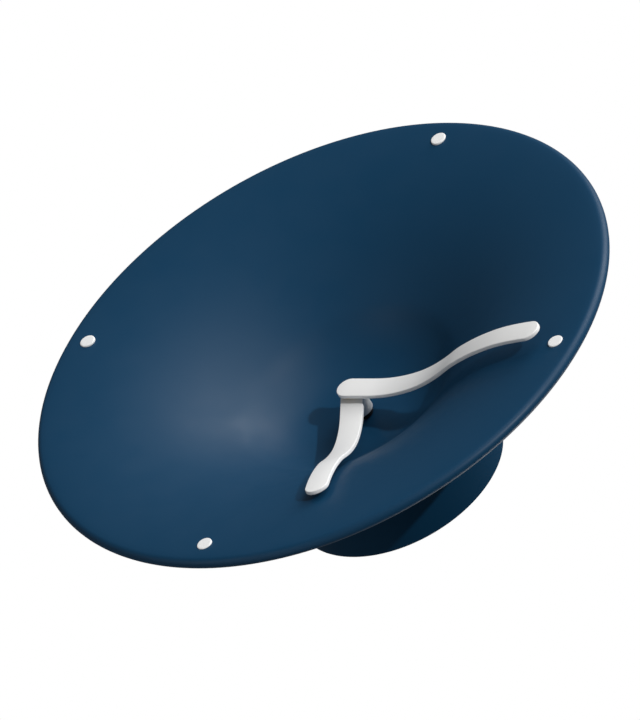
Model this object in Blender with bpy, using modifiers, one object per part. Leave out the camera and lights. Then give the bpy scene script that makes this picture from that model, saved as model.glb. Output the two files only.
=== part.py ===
"""Sculptural wall clock: a flared dish dial on a round drum, two S-bent hands and a quartz movement.

The clock is modelled face up, with x to three o'clock, y to twelve o'clock and z out of the wall.
One empty then hangs it on the wall: world +Z is twelve o'clock, world -Y is out of the dial, and
the origin is the centre of the flat back that lies on the wall.
"""
import math

import bmesh
import bpy
from mathutils import Matrix, Vector

MM = 0.001
GAP = 0.3                     # clearance between neighbouring pieces, in millimetres

# Driving dimensions, in millimetres. z is the distance in front of the wall.
DIAL_RADIUS = 150.0
BEAD_RADIUS = 3.2
BEAD_PLANE = 89.4
SHELL_WALL = 3.0
FLOOR_FRONT = 42.84
BUSH_HOLE_RADIUS = 4.35
MARKER_CIRCLE = 137.5
MARKER_RADIUS = 3.84
MARKER_TOP = 92.75
MARKER_THICKNESS = 1.5
DRUM_RADIUS = 54.5
DRUM_WALL = 2.5
DRUM_FRONT = 46.0
BACK_PLATE_THICKNESS = 4.0
LEDGE_RADIUS = 46.0
SHELL_SEGMENTS = 56
ROUND_SEGMENTS = 24
SMALL_SEGMENTS = 16

HAND_WIDTH = 12.0
HAND_THICKNESS = 1.8
HAND_EDGE = 0.7
MINUTE_TOP = 61.37
HOUR_TOP = 56.62
MINUTE_REACH = 131.0
HOUR_REACH = 113.0
HOUR_HAND_ANGLE = 65.0        # clockwise from the minute hand, in degrees
HUB_RADIUS = 6.25
HUB_BOTTOM = 45.62

# The movement, a 56 mm square quartz block behind the dial's floor.
CASE_SIZE = 56.0
CASE_WALL = 1.2
CASE_REAR = 23.0
FRONT_PLATE_REAR = 35.6
FRONT_PLATE_FRONT = 37.6
BRIDGE_REAR = 31.4
BRIDGE_FRONT = 32.4
BUSH_RADIUS = 4.0
BUSH_BORE = 2.8
HOUR_TUBE_RADIUS = 2.5
HOUR_TUBE_BORE = 1.75
MINUTE_ARBOR_RADIUS = 1.4
WHEEL_ARBOR_RADIUS = 0.5

MOTION_MODULE = 0.45
TRAIN_MODULE = 0.24
TOOTH_CLEARANCE = 0.15        # each tooth tip stays this far inside its pitch circle
TOOTH_DEPTH = 0.45

BATTERY_RADIUS = 7.1
BATTERY_LENGTH = 49.0
BATTERY_Y = -19.4
BATTERY_Z = 26.6
BAY_TOP = -12.0
BAY_FLOOR = 34.1
BAY_WALL = 1.4

WINDOW_HALF_WIDTH = 30.0
WINDOW_TOP = -3.0
WINDOW_BOTTOM = -33.3
DOOR_PIVOT_Y = -31.5
DOOR_PIVOT_Z = 1.3
DOOR_PIN_RADIUS = 0.8

# The dish's front surface as (radius, z, slope): flat floor, steep throat, soft lip, wide flare.
DISH_KNOTS = (
    (18.2, FLOOR_FRONT, 0.0),
    (51.4, 56.9, 0.92),
    (57.1, 61.7, 0.707),
    (67.7, 68.6, 0.62),
    (82.1, 76.7, 0.50),
    (95.5, 82.6, 0.38),
    (123.8, 90.3, 0.17),
    (137.5, 92.1, 0.09),
    (DIAL_RADIUS - BEAD_RADIUS, BEAD_PLANE + BEAD_RADIUS, 0.0),
)
DISH_RADII = (18.2, 28.0, 37.0, 45.0, 51.4, 56.0, 62.0, 72.0, 84.0, 98.0, 113.0, 128.0, 140.0,
              DIAL_RADIUS - BEAD_RADIUS)
FLARE_BACK_RADII = (141.0, 124.0, 106.0, 90.0, 76.0)
THROAT_BACK_RADII = (47.0, 41.5)
FLOOR_BACK_RADIUS = 36.0
BEAD_ANGLES = (60.0, 30.0, 0.0, -30.0, -60.0, -90.0, -120.0, -150.0)
NECK_START = 49.5
NECK_END_RADIUS = 63.0
NECK_PULL = 5.5
NECK_STEPS = 4
MARKER_PLACES = ((12, 90.0), (3, 0.0), (6, 270.0), (9, 180.0))

# Screws and their bosses.
BOSS_CIRCLE = 47.0
BOSS_RADIUS = 3.4
BOSS_ANGLES = (45.0, 135.0, 225.0, 315.0)
BOSS_ROOT = 1.5               # how far a boss runs up into the dish's shell
PILOT_RADIUS = 1.5
PILOT_ROOF = 2.0              # shell and boss left above a screw hole
SCREW_RADIUS = 1.2
SCREW_POINT = 0.8
SCREW_POINT_RADIUS = 0.5
SCREW_SIDES = 12
DRUM_SCREW_HEAD = 2.6
DRUM_SCREW_HEAD_HEIGHT = 1.8
DRUM_SCREW_TIP = 1.2          # the tip stays this far behind the shell's underside
BACK_SCREW_CIRCLE = 48.6
BACK_SCREW_ANGLES = (20.0, 160.0, 200.0, 340.0)
BACK_SCREW_HEAD = 2.3
BACK_SCREW_REAR = 0.2
BACK_SCREW_HEAD_FRONT = 1.7
BACK_SCREW_RECESS = 2.0
BACK_SCREW_GRIP = 3.0         # thread beyond the back plate

# The drum's flanges, the back plate's fittings and the battery door.
DRUM_FLANGE = 3.0
LEDGE_THICKNESS = 3.0
KEYHOLE_Y = 30.0
KEYHOLE_RADIUS = 4.5
KEYHOLE_SLOT = 2.3
KEYHOLE_RISE = 8.0
KEYHOLE_STEPS = 14
HANGER_X = (-12.0, 12.0)
HANGER_Y = (22.0, 43.0)
HANGER_THICKNESS = 1.2
HANGER_SLOT_INSET = 0.4       # the steel plate's keyhole is this much smaller all round
STOP_LIP_X = (-12.0, 12.0)
STOP_LIP_REAR = 2.7
STOP_LIP_REACH = 2.0
STOP_LIP_ROOT = 0.5
DOOR_HALF_THICKNESS = 1.0
DOOR_BELOW_PIVOT = 1.2
DOOR_PIN_REACH = 1.6
DOOR_PIN_GROOVE = 2.0
THUMB_NOTCH_RADIUS = 5.0
THUMB_NOTCH_RISE = 1.0

# The minute hand's upper face as (distance from the axis, z, slope): flat, a rise, then a long sweep.
MINUTE_KNOTS = (
    (13.0, MINUTE_TOP, 0.0),
    (39.6, 65.7, 0.31),
    (67.7, 79.56, 0.65),
    (82.2, 87.34, 0.47),
    (99.8, 94.4, 0.34),
    (116.1, 98.7, 0.20),
    (132.5, 101.3, 0.13),
)
HAND_END_ANGLES = (17.0, 42.0, 61.0, 76.0)
HAND_STEPS = 20
HAND_SKIN = 0.8               # metal left above the minute arbor's socket
COLLET_RADIUS = 4.0

# The bush, washer and nut that clamp the movement to the dial's floor.
BUSH_REAR = 36.0
BUSH_FLANGE_RADIUS = 8.0
BUSH_FLANGE_THICKNESS = 0.7
BUSH_FRONT_DROP = 0.8
WASHER_RADIUS = 9.0
WASHER_CLEARANCE = 0.25
NUT_RADIUS = 5.5

# Wheels: tooth counts, then each toothed disc's (low, high).
CANNON_TEETH = 10
MINUTE_WHEEL_TEETH = 30
HOUR_PINION_TEETH = 8
HOUR_WHEEL_TEETH = 32
KNOB_TEETH = 10
PINION_TEETH = 8
CENTRE_TEETH = 64
THIRD_TEETH = 60
SECONDS_TEETH = 48
INTERMEDIATE_TEETH = 40
CENTRE_WHEEL_Z = (28.0, 28.8)
CANNON_Z = (32.8, 33.8)
THIRD_WHEEL_Z = (26.0, 26.8)
THIRD_PINION_Z = (27.6, 29.2)
SECONDS_WHEEL_Z = (27.6, 28.4)
SECONDS_PINION_Z = (25.8, 27.1)
INTERMEDIATE_WHEEL_Z = (24.9, 25.6)
INTERMEDIATE_PINION_Z = (27.3, 28.7)
ROTOR_PINION_Z = (24.8, 25.9)
ROTOR_MAGNET_Z = (28.6, 30.9)
MINUTE_WHEEL_Z = (32.8, 33.6)
HOUR_PINION_Z = (33.2, 35.1)
HOUR_WHEEL_Z = (34.2, 35.2)
KNOB_PINION_Z = (32.8, 33.7)
ARBOR_END = 0.2               # how far an arbor's end stays inside a plate's face
ARBOR_SEGMENTS = 10
ROTOR_RADIUS = 3.0

# The setting knob.
KNOB_SHAFT_RADIUS = 1.0
KNOB_SHAFT_Z = (18.4, 33.9)
KNOB_SHAFT_SEGMENTS = 11
KNOB_GRIP_Z = (18.8, 22.4)
KNOB_GRIP_RADIUS = 3.8
KNOB_GROOVE_RADIUS = 3.4
KNOB_RIDGES = 16
KNOB_GRIP_TURN = 4.0

# The bridge, the motor and the circuit board.
BRIDGE_X = (-16.5, 20.5)
BRIDGE_Y = (-10.5, 15.5)
STATOR_Z = (29.2, 30.2)
STATOR_RING_RADIUS = 4.8
STATOR_LIMB = (0.6, 4.8)      # the upright limb's sides, from the rotor's axis
STATOR_LIMB_OVERLAP = 2.0
STATOR_BAR_LEFT = -8.0
STATOR_BAR_HALF = 1.5
COIL_Y = 20.0
COIL_X = (-6.0, 11.0)
COIL_RADIUS = 3.2
COIL_CLEARANCE = 0.25
BOBBIN_X = (-6.5, 11.5)
BOBBIN_RADIUS = 2.3
BOBBIN_SLOT_X = (-9.0, 20.0)
FLANGE_SPANS = ((-7.5, -6.3), (11.3, 12.5))
FLANGE_RADIUS = 3.7
BOARD_X = (-26.2, -18.2)
BOARD_Y = (-8.0, 24.0)
BOARD_Z = (28.6, 29.6)
CRYSTAL_RADIUS = 1.0
CRYSTAL_HALF_LENGTH = 3.0
CRYSTAL_X = -22.2
CRYSTAL_Y = 14.0
CHIP_X = (-24.7, -19.7)
CHIP_Y = (-0.5, 4.5)
CHIP_HEIGHT = 1.1
CHIP_EDGE = 0.3

# The cell's ends and its contacts.
CELL_NUB_END = 25.7
CELL_NUB_LENGTH = 1.3
CELL_NUB_RADIUS = 2.7
CELL_NUB_ROOT = 1.0
CONTACT_THICKNESS = 0.4
CONTACT_HALF_Y = 5.0
CONTACT_HALF_Z = 4.0
SPRING_WIRE = 0.35
SPRING_TURNS = 2.0
SPRING_STEPS_PER_TURN = 12
SPRING_WIDE = 4.2
SPRING_NARROW = 2.3

NAVY = ((0.013, 0.050, 0.105), 0.42, 0.0)
WHITE = ((0.80, 0.80, 0.79), 0.45, 0.0)
BLACK = ((0.012, 0.012, 0.013), 0.55, 0.0)
CHARCOAL = ((0.030, 0.031, 0.034), 0.60, 0.0)
RUBBER = ((0.010, 0.010, 0.010), 0.85, 0.0)
NATURAL = ((0.72, 0.70, 0.62), 0.40, 0.0)
STEEL = ((0.58, 0.58, 0.60), 0.32, 1.0)
BRASS = ((0.72, 0.52, 0.22), 0.30, 1.0)
COPPER = ((0.62, 0.26, 0.12), 0.35, 1.0)
IRON = ((0.30, 0.30, 0.31), 0.45, 1.0)
BOARD_GREEN = ((0.020, 0.12, 0.045), 0.50, 0.0)
CELL_GREY = ((0.16, 0.17, 0.19), 0.35, 0.0)
KNOB_RED = ((0.55, 0.045, 0.03), 0.45, 0.0)


# ---------------------------------------------------------------- scene helpers

def clear_scene():
    for item in list(bpy.data.objects):
        bpy.data.objects.remove(item, do_unlink=True)


def new_collection(name):
    collection = bpy.data.collections.new(name)
    bpy.context.scene.collection.children.link(collection)
    return collection


def make_material(name, look):
    colour, roughness, metallic = look
    material = bpy.data.materials.new(name)
    material.use_nodes = True
    shader = material.node_tree.nodes["Principled BSDF"]
    shader.inputs["Base Color"].default_value = (*colour, 1.0)
    shader.inputs["Roughness"].default_value = roughness
    shader.inputs["Metallic"].default_value = metallic
    material.diffuse_color = (*colour, 1.0)
    return material


def smooth(mesh, angle=35.0):
    mesh.shade_smooth()
    mesh.set_sharp_from_angle(angle=math.radians(angle))


def add_part(name, mesh, look, at=(0.0, 0.0, 0.0), turn=0.0):
    """Put a sub-part in the clock; at is its origin in millimetres, turn is degrees clockwise."""
    mesh.name = name
    part = bpy.data.objects.new(name, mesh)
    PARTS.objects.link(part)
    part.parent = WALL_EMPTY
    part.location = Vector(at) * MM
    part.rotation_euler = (0.0, 0.0, -math.radians(turn))
    mesh.materials.clear()
    mesh.materials.append(make_material(name, look))
    return part


def add_tool(name, mesh, at=(0.0, 0.0, 0.0)):
    """A guide solid that another part is cut by or joined to."""
    tool = bpy.data.objects.new(name, mesh)
    TOOLS.objects.link(tool)
    tool.parent = WALL_EMPTY
    tool.location = Vector(at) * MM
    tool.display_type = "WIRE"
    tool.hide_render = True
    return tool


def boolean(part, tool, operation):
    modifier = part.modifiers.new(operation.title() + " " + tool.name, "BOOLEAN")
    modifier.operation = operation
    modifier.object = tool
    modifier.solver = "EXACT"


def cut(part, mesh, at=(0.0, 0.0, 0.0)):
    boolean(part, add_tool(part.name + "_cut", mesh, at), "DIFFERENCE")


def join(part, mesh, at=(0.0, 0.0, 0.0)):
    boolean(part, add_tool(part.name + "_join", mesh, at), "UNION")


# ---------------------------------------------------------------- shape helpers

def mesh_from(builder):
    """Run builder on a new bmesh and return the mesh, scaled from millimetres to metres."""
    work = bmesh.new()
    builder(work)
    bmesh.ops.scale(work, vec=(MM, MM, MM), verts=work.verts)
    mesh = bpy.data.meshes.new("shape")
    work.to_mesh(mesh)
    work.free()
    return mesh


def cylinder(radius, low, high, segments=SMALL_SEGMENTS, top_radius=None, centre=(0.0, 0.0)):
    """A cylinder or cone along z from low to high."""
    def build(work):
        bmesh.ops.create_cone(
            work, cap_ends=True, segments=segments, radius1=radius,
            radius2=radius if top_radius is None else top_radius, depth=high - low,
            matrix=Matrix.Translation((centre[0], centre[1], (low + high) / 2)))
    mesh = mesh_from(build)
    smooth(mesh)
    return mesh


def cylinder_x(radius, low, high, y, z, segments=SMALL_SEGMENTS):
    """A cylinder along x from low to high."""
    def build(work):
        place = Matrix.Translation(((low + high) / 2, y, z)) @ Matrix.Rotation(math.pi / 2, 4, "Y")
        bmesh.ops.create_cone(work, cap_ends=True, segments=segments, radius1=radius,
                              radius2=radius, depth=high - low, matrix=place)
    mesh = mesh_from(build)
    smooth(mesh)
    return mesh


def block(x_range, y_range, z_range):
    """A box between the given limits."""
    limits = (x_range, y_range, z_range)

    def build(work):
        made = bmesh.ops.create_cube(work, size=1.0)
        size = [high - low for low, high in limits]
        middle = [(low + high) / 2 for low, high in limits]
        bmesh.ops.scale(work, vec=size, verts=made["verts"])
        bmesh.ops.translate(work, vec=middle, verts=made["verts"])
    return mesh_from(build)


def signed_area(outline):
    total = 0.0
    for (x0, y0), (x1, y1) in zip(outline, outline[1:] + outline[:1]):
        total += x0 * y1 - x1 * y0
    return total / 2


def turned(name, outline, look, segments=ROUND_SEGMENTS):
    """A ring turned about z from a closed outline of (radius, z) points."""
    points = list(outline)
    if signed_area(points) > 0:
        points.reverse()
    mesh = bpy.data.meshes.new(name)
    count = len(points)
    mesh.from_pydata([(r * MM, 0.0, z * MM) for r, z in points],
                     [(i, (i + 1) % count) for i in range(count)], [])
    part = add_part(name, mesh, look)
    screw = part.modifiers.new("Turn", "SCREW")
    screw.axis = "Z"
    screw.angle = 2 * math.pi
    screw.steps = segments
    screw.render_steps = segments
    screw.use_merge_vertices = True
    screw.merge_threshold = 0.00001
    screw.use_smooth_shade = True
    return part


def flat_plate(outlines, low, high):
    """A plate between two heights from closed 2D outlines; inner outlines are its holes."""
    curve = bpy.data.curves.new("outline", "CURVE")
    curve.dimensions = "2D"
    curve.fill_mode = "BOTH"
    curve.extrude = (high - low) / 2 * MM
    for outline in outlines:
        spline = curve.splines.new("POLY")
        spline.points.add(len(outline) - 1)
        for point, (x, y) in zip(spline.points, outline):
            point.co = (x * MM, y * MM, 0.0, 1.0)
        spline.use_cyclic_u = True
    guide = bpy.data.objects.new("outline", curve)
    bpy.context.scene.collection.objects.link(guide)
    depsgraph = bpy.context.evaluated_depsgraph_get()
    mesh = bpy.data.meshes.new_from_object(guide.evaluated_get(depsgraph))
    bpy.data.objects.remove(guide, do_unlink=True)
    work = bmesh.new()
    work.from_mesh(mesh)
    bmesh.ops.remove_doubles(work, verts=work.verts, dist=0.000001)
    bmesh.ops.translate(work, vec=(0.0, 0.0, (low + high) / 2 * MM), verts=work.verts)
    bmesh.ops.recalc_face_normals(work, faces=work.faces)
    work.to_mesh(mesh)
    work.free()
    return mesh


def rectangle(x_range, y_range):
    return [(x_range[0], y_range[0]), (x_range[1], y_range[0]),
            (x_range[1], y_range[1]), (x_range[0], y_range[1])]


def circle_points(radius, segments, centre=(0.0, 0.0)):
    return [(centre[0] + radius * math.cos(2 * math.pi * i / segments),
             centre[1] + radius * math.sin(2 * math.pi * i / segments)) for i in range(segments)]


def gear_points(teeth, module, phase=0.0):
    """A toothed outline whose tips stay just inside the pitch circle."""
    tip = teeth * module / 2 - TOOTH_CLEARANCE
    root = tip - TOOTH_DEPTH
    step = 2 * math.pi / teeth
    points = []
    for tooth in range(teeth):
        for offset, radius in ((0.0, tip), (0.5, root)):
            angle = step * (tooth + offset) + phase
            points.append((radius * math.cos(angle), radius * math.sin(angle)))
    return points


def polar(radius, degrees):
    angle = math.radians(degrees)
    return (radius * math.cos(angle), radius * math.sin(angle))


def hermite(knots, value):
    """A smooth height through (position, height, slope) knots; constant slope past the ends."""
    if value <= knots[0][0]:
        return knots[0][1] + knots[0][2] * (value - knots[0][0])
    for (p0, h0, s0), (p1, h1, s1) in zip(knots, knots[1:]):
        if value <= p1:
            span = p1 - p0
            t = (value - p0) / span
            rise = h0 * (2 * t**3 - 3 * t**2 + 1) + h1 * (3 * t**2 - 2 * t**3)
            bend = s0 * (t**3 - 2 * t**2 + t) + s1 * (t**3 - t**2)
            return rise + span * bend
    return knots[-1][1] + knots[-1][2] * (value - knots[-1][0])


def slope_of(knots, value):
    step = 0.01
    return (hermite(knots, value + step) - hermite(knots, value - step)) / (2 * step)


# ---------------------------------------------------------------- dish and markers

def offset_point(radius):
    """The point of the dish's underside behind its front surface at this radius."""
    angle = math.atan(slope_of(DISH_KNOTS, radius))
    return (radius + SHELL_WALL * math.sin(angle),
            hermite(DISH_KNOTS, radius) - SHELL_WALL * math.cos(angle))


def underside_height(radius):
    """The underside's height at a radius, by bisection on the front surface's radius."""
    low, high = radius - 2 * SHELL_WALL, radius
    for _ in range(40):
        middle = (low + high) / 2
        if offset_point(middle)[0] < radius:
            low = middle
        else:
            high = middle
    return offset_point((low + high) / 2)[1]


def bezier(start, start_pull, end_pull, end, steps):
    controls = (start, start_pull, end_pull, end)
    points = []
    for i in range(steps + 1):
        t = i / steps
        weights = ((1 - t)**3, 3 * t * (1 - t)**2, 3 * t * t * (1 - t), t**3)
        across = sum(weight * point[0] for weight, point in zip(weights, controls))
        up = sum(weight * point[1] for weight, point in zip(weights, controls))
        points.append((across, up))
    return points


def neck_points():
    """The flare from the drum's straight side up into the underside of the dish."""
    end = (NECK_END_RADIUS, underside_height(NECK_END_RADIUS))
    slope = math.atan(slope_of(DISH_KNOTS, NECK_END_RADIUS - SHELL_WALL / 2))
    end_pull = (end[0] - NECK_PULL * math.cos(slope), end[1] - NECK_PULL * math.sin(slope))
    return bezier((DRUM_RADIUS, NECK_START), (DRUM_RADIUS, NECK_START + NECK_PULL),
                  end_pull, end, NECK_STEPS)


def dish_outline():
    """The closed cross-section of the dish, from its centre hole round the bead and back."""
    skirt_end = DRUM_FRONT + GAP
    skirt_inner = DRUM_RADIUS - DRUM_WALL
    outline = [(BUSH_HOLE_RADIUS, FLOOR_FRONT)]
    outline += [(r, hermite(DISH_KNOTS, r)) for r in DISH_RADII]
    bead_centre = DIAL_RADIUS - BEAD_RADIUS
    for degrees in BEAD_ANGLES:
        x, z = polar(BEAD_RADIUS, degrees)
        outline.append((bead_centre + x, BEAD_PLANE + z))
    outline += [(r, underside_height(r)) for r in FLARE_BACK_RADII]
    outline += list(reversed(neck_points()))
    outline.append((DRUM_RADIUS, skirt_end))
    outline.append((skirt_inner, skirt_end))
    outline.append((skirt_inner, underside_height(skirt_inner)))
    outline += [(r, underside_height(r)) for r in THROAT_BACK_RADII]
    outline.append((FLOOR_BACK_RADIUS, FLOOR_FRONT - SHELL_WALL))
    outline.append((BUSH_HOLE_RADIUS, FLOOR_FRONT - SHELL_WALL))
    return outline


def make_dish():
    dish = turned("dial_shell", dish_outline(), NAVY, SHELL_SEGMENTS)
    boss_top = underside_height(BOSS_CIRCLE) + BOSS_ROOT
    for degrees in BOSS_ANGLES:
        at = (*polar(BOSS_CIRCLE, degrees), 0.0)
        join(dish, cylinder(BOSS_RADIUS, DRUM_FRONT + GAP, boss_top, 12), at)
        cut(dish, cylinder(PILOT_RADIUS, DRUM_FRONT - 1.0, boss_top - PILOT_ROOF, 8), at)
    pocket_floor = MARKER_TOP - MARKER_THICKNESS - GAP
    for _, degrees in MARKER_PLACES:
        at = (*polar(MARKER_CIRCLE, degrees), 0.0)
        cut(dish, cylinder(MARKER_RADIUS + GAP, pocket_floor, MARKER_TOP + 3.0, 20), at)


def make_markers():
    for hour, degrees in MARKER_PLACES:
        mesh = cylinder(MARKER_RADIUS, MARKER_TOP - MARKER_THICKNESS, MARKER_TOP, 24)
        add_part("marker_%d" % hour, mesh, WHITE, (*polar(MARKER_CIRCLE, degrees), 0.0))


# ---------------------------------------------------------------- drum and back

def make_drum():
    inner = DRUM_RADIUS - DRUM_WALL
    ledge_low = BACK_PLATE_THICKNESS + GAP
    outline = [
        (DRUM_RADIUS, 0.0),
        (DRUM_RADIUS, DRUM_FRONT),
        (BOSS_CIRCLE - BOSS_RADIUS, DRUM_FRONT),
        (BOSS_CIRCLE - BOSS_RADIUS, DRUM_FRONT - DRUM_FLANGE),
        (inner, DRUM_FRONT - DRUM_FLANGE),
        (inner, ledge_low + LEDGE_THICKNESS),
        (LEDGE_RADIUS, ledge_low + LEDGE_THICKNESS),
        (LEDGE_RADIUS, ledge_low),
        (inner, ledge_low),
        (inner, 0.0),
    ]
    drum = turned("rear_drum", outline, NAVY, SHELL_SEGMENTS)
    for degrees in BOSS_ANGLES:
        hole = cylinder(PILOT_RADIUS, DRUM_FRONT - DRUM_FLANGE - 1.0, DRUM_FRONT + 1.0, 8)
        cut(drum, hole, (*polar(BOSS_CIRCLE, degrees), 0.0))
    for degrees in BACK_SCREW_ANGLES:
        hole = cylinder(PILOT_RADIUS, ledge_low - 1.0, ledge_low + LEDGE_THICKNESS + 1.0, 8)
        cut(drum, hole, (*polar(BACK_SCREW_CIRCLE, degrees), 0.0))


def keyhole_points(grow):
    """A round opening with a narrow slot above it, which drops over a wall screw."""
    radius = KEYHOLE_RADIUS + grow
    half = KEYHOLE_SLOT + grow
    top = KEYHOLE_Y + KEYHOLE_RISE
    start = math.asin(half / radius)
    points = [polar(half, degrees) for degrees in (0.0, 45.0, 90.0, 135.0, 180.0)]
    points = [(x, y + top) for x, y in points]
    for i in range(KEYHOLE_STEPS + 1):
        angle = math.pi / 2 + start + (2 * math.pi - 2 * start) * i / KEYHOLE_STEPS
        points.append((radius * math.cos(angle), KEYHOLE_Y + radius * math.sin(angle)))
    return points


def make_back_plate():
    window = rectangle((-WINDOW_HALF_WIDTH, WINDOW_HALF_WIDTH), (WINDOW_BOTTOM, WINDOW_TOP))
    rim = circle_points(DRUM_RADIUS - DRUM_WALL - GAP, SHELL_SEGMENTS)
    mesh = flat_plate([rim, window, keyhole_points(0.0)], 0.0, BACK_PLATE_THICKNESS)
    plate = add_part("back_plate", mesh, CHARCOAL)
    for degrees in BACK_SCREW_ANGLES:
        at = (*polar(BACK_SCREW_CIRCLE, degrees), 0.0)
        cut(plate, cylinder(BACK_SCREW_HEAD + GAP, -1.0, BACK_SCREW_RECESS, SCREW_SIDES), at)
        cut(plate, cylinder(PILOT_RADIUS, 1.0, BACK_PLATE_THICKNESS + 1.0, 8), at)
    reach = WINDOW_HALF_WIDTH + DOOR_PIN_GROOVE
    groove = cylinder_x(DOOR_PIN_RADIUS + GAP, -reach, reach, DOOR_PIVOT_Y, DOOR_PIVOT_Z, 10)
    cut(plate, groove)
    # A stop lip behind the door's free edge.
    lip_y = (WINDOW_TOP - STOP_LIP_REACH, WINDOW_TOP + STOP_LIP_ROOT)
    join(plate, block(STOP_LIP_X, lip_y, (STOP_LIP_REAR, BACK_PLATE_THICKNESS)))


def make_battery_door():
    """The hinged door over the battery; its origin is on the hinge axis."""
    half = WINDOW_HALF_WIDTH - GAP
    height = WINDOW_TOP - GAP - DOOR_PIVOT_Y
    mesh = block((-half, half), (-DOOR_BELOW_PIVOT, height), (-DOOR_HALF_THICKNESS, DOOR_HALF_THICKNESS))
    at = (0.0, DOOR_PIVOT_Y, DOOR_PIVOT_Z)
    door = add_part("battery_door", mesh, CHARCOAL, at)
    reach = WINDOW_HALF_WIDTH + DOOR_PIN_REACH
    join(door, cylinder_x(DOOR_PIN_RADIUS, -reach, reach, 0.0, 0.0, 10), at)
    notch_depth = 3 * DOOR_HALF_THICKNESS
    notch = cylinder(THUMB_NOTCH_RADIUS, -notch_depth, notch_depth, 20,
                     centre=(0.0, height + THUMB_NOTCH_RISE))
    cut(door, notch, at)


def screw_mesh(head_radius, head_low, head_high, tip):
    """A pan-head screw along z, with a short point."""
    outline = ((head_radius, head_low), (head_radius, head_high), (SCREW_RADIUS, head_high),
               (SCREW_RADIUS, tip - SCREW_POINT), (SCREW_POINT_RADIUS, tip))

    def build(work):
        rings = []
        for radius, z in outline:
            ring = bmesh.ops.create_circle(work, cap_ends=False, segments=SCREW_SIDES, radius=radius,
                                           matrix=Matrix.Translation((0.0, 0.0, z)))
            rings.append(ring["verts"])
        for lower, upper in zip(rings, rings[1:]):
            for i in range(SCREW_SIDES):
                after = (i + 1) % SCREW_SIDES
                work.faces.new((lower[i], lower[after], upper[after], upper[i]))
        work.faces.new(list(reversed(rings[0])))
        work.faces.new(rings[-1])
        bmesh.ops.recalc_face_normals(work, faces=work.faces)
    mesh = mesh_from(build)
    smooth(mesh)
    return mesh


def make_screws():
    head_front = DRUM_FRONT - DRUM_FLANGE - GAP
    tip = underside_height(BOSS_CIRCLE) - DRUM_SCREW_TIP
    for number, degrees in enumerate(BOSS_ANGLES, 1):
        mesh = screw_mesh(DRUM_SCREW_HEAD, head_front - DRUM_SCREW_HEAD_HEIGHT, head_front, tip)
        add_part("drum_screw_%d" % number, mesh, STEEL, (*polar(BOSS_CIRCLE, degrees), 0.0))
    for number, degrees in enumerate(BACK_SCREW_ANGLES, 1):
        mesh = screw_mesh(BACK_SCREW_HEAD, BACK_SCREW_REAR, BACK_SCREW_HEAD_FRONT,
                          BACK_PLATE_THICKNESS + BACK_SCREW_GRIP)
        add_part("back_screw_%d" % number, mesh, STEEL, (*polar(BACK_SCREW_CIRCLE, degrees), 0.0))


def make_hanger_plate():
    """A steel plate over the keyhole's inner side; its smaller keyhole bears on the wall screw."""
    low = BACK_PLATE_THICKNESS + GAP
    outlines = [rectangle(HANGER_X, HANGER_Y), keyhole_points(-HANGER_SLOT_INSET)]
    add_part("hanger_plate", flat_plate(outlines, low, low + HANGER_THICKNESS), STEEL)


# ---------------------------------------------------------------- hands

def hand_mesh(reach, drop):
    """A strip of even width with round ends that follows the hand's side profile."""
    half = HAND_WIDTH / 2
    end_angles = [math.radians(degrees) for degrees in HAND_END_ANGLES]
    rows = []
    for angle in end_angles:
        rows.append((-half * math.cos(angle), half * math.sin(angle)))
    for i in range(HAND_STEPS + 1):
        rows.append(((reach - half) * i / HAND_STEPS, half))
    for angle in reversed(end_angles):
        rows.append((reach - half + half * math.cos(angle), half * math.sin(angle)))

    def build(work):
        pairs = []
        for along, width in rows:
            height = hermite(MINUTE_KNOTS, along) - drop
            left = work.verts.new((along, width, height))
            right = work.verts.new((along, -width, height))
            pairs.append((left, right))
        for (left0, right0), (left1, right1) in zip(pairs, pairs[1:]):
            work.faces.new((right0, right1, left1, left0))
    return mesh_from(build)


def make_hand(name, reach, top, turn):
    hand = add_part(name, hand_mesh(reach, MINUTE_TOP - top), WHITE, turn=turn)
    solid = hand.modifiers.new("Thickness", "SOLIDIFY")
    solid.thickness = HAND_THICKNESS * MM
    solid.offset = -1.0
    solid.use_even_offset = True
    bevel = hand.modifiers.new("Round edge", "BEVEL")
    bevel.width = HAND_EDGE * MM
    bevel.segments = 1
    bevel.limit_method = "ANGLE"
    bevel.angle_limit = math.radians(50.0)
    return hand


def make_hands():
    minute = make_hand("minute_hand", MINUTE_REACH, MINUTE_TOP, 0.0)
    socket_low = MINUTE_TOP - HAND_THICKNESS - 1.2
    cut(minute, cylinder(MINUTE_ARBOR_RADIUS + GAP, socket_low, MINUTE_TOP - HAND_SKIN, 14))
    hour = make_hand("hour_hand", HOUR_REACH, HOUR_TOP, HOUR_HAND_ANGLE)
    cut(hour, cylinder(HOUR_TUBE_RADIUS + GAP, HOUR_TOP - 4.0, HOUR_TOP + 2.0, 18))
    collet_low = HOUR_TOP + GAP
    collet_high = MINUTE_TOP - HAND_THICKNESS - GAP
    bore = MINUTE_ARBOR_RADIUS + GAP
    turned("minute_hand_collet",
           [(bore, collet_low), (COLLET_RADIUS, collet_low), (COLLET_RADIUS, collet_high),
            (bore, collet_high)], BRASS)
    hub_top = HOUR_TOP - HAND_THICKNESS - GAP
    bore = HOUR_TUBE_RADIUS + GAP
    turned("hour_hand_hub",
           [(bore, HUB_BOTTOM), (HUB_RADIUS, HUB_BOTTOM), (HUB_RADIUS, hub_top), (bore, hub_top)], WHITE)


# ---------------------------------------------------------------- fixings of the movement

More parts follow.
